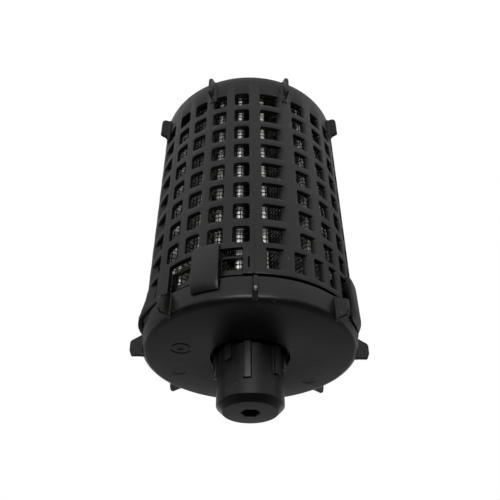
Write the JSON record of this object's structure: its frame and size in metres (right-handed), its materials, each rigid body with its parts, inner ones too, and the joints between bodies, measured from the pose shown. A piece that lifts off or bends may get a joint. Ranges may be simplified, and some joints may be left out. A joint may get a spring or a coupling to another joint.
{
  "type": "transmission filter",
  "caption": "Cylindrical perforated cage with a clipped-on end cap and hex-socket hub around a pleated wire-mesh oil filter element.",
  "frame": {"origin": "centre of the cage's open end, on the plane of the rim it stands on", "axes": "+Z along the cage's axis, from the outlet end towards the end cap's hub; -Y faces the picture's camera"},
  "size_m": [0.0894, 0.0894, 0.1364],
  "materials": {
    "glass_filled_nylon": "fine moulded texture, black",
    "steel_wire_mesh": "woven stainless wire",
    "fine_medium": "fine woven stainless cloth",
    "plated_steel": "tin-plated sheet",
    "adhesive": "cured potting compound",
    "rubber": "moulded rubber"
  },
  "bodies": {
    "root": {"outer_cage": "glass_filled_nylon", "outlet_plate": "glass_filled_nylon", "end_cap": "glass_filled_nylon", "outer_support_mesh": "steel_wire_mesh", "filter_medium": "fine_medium", "inner_support_mesh": "steel_wire_mesh", "seam_clip": "plated_steel", "core_tube": "plated_steel", "lower_end_disc": "plated_steel", "upper_end_disc": "plated_steel", "lower_bond_ring": "adhesive", "upper_bond_ring": "adhesive", "lower_gasket": "rubber", "upper_gasket": "rubber", "outlet_seal": "rubber"}
  },
  "joints": []
}
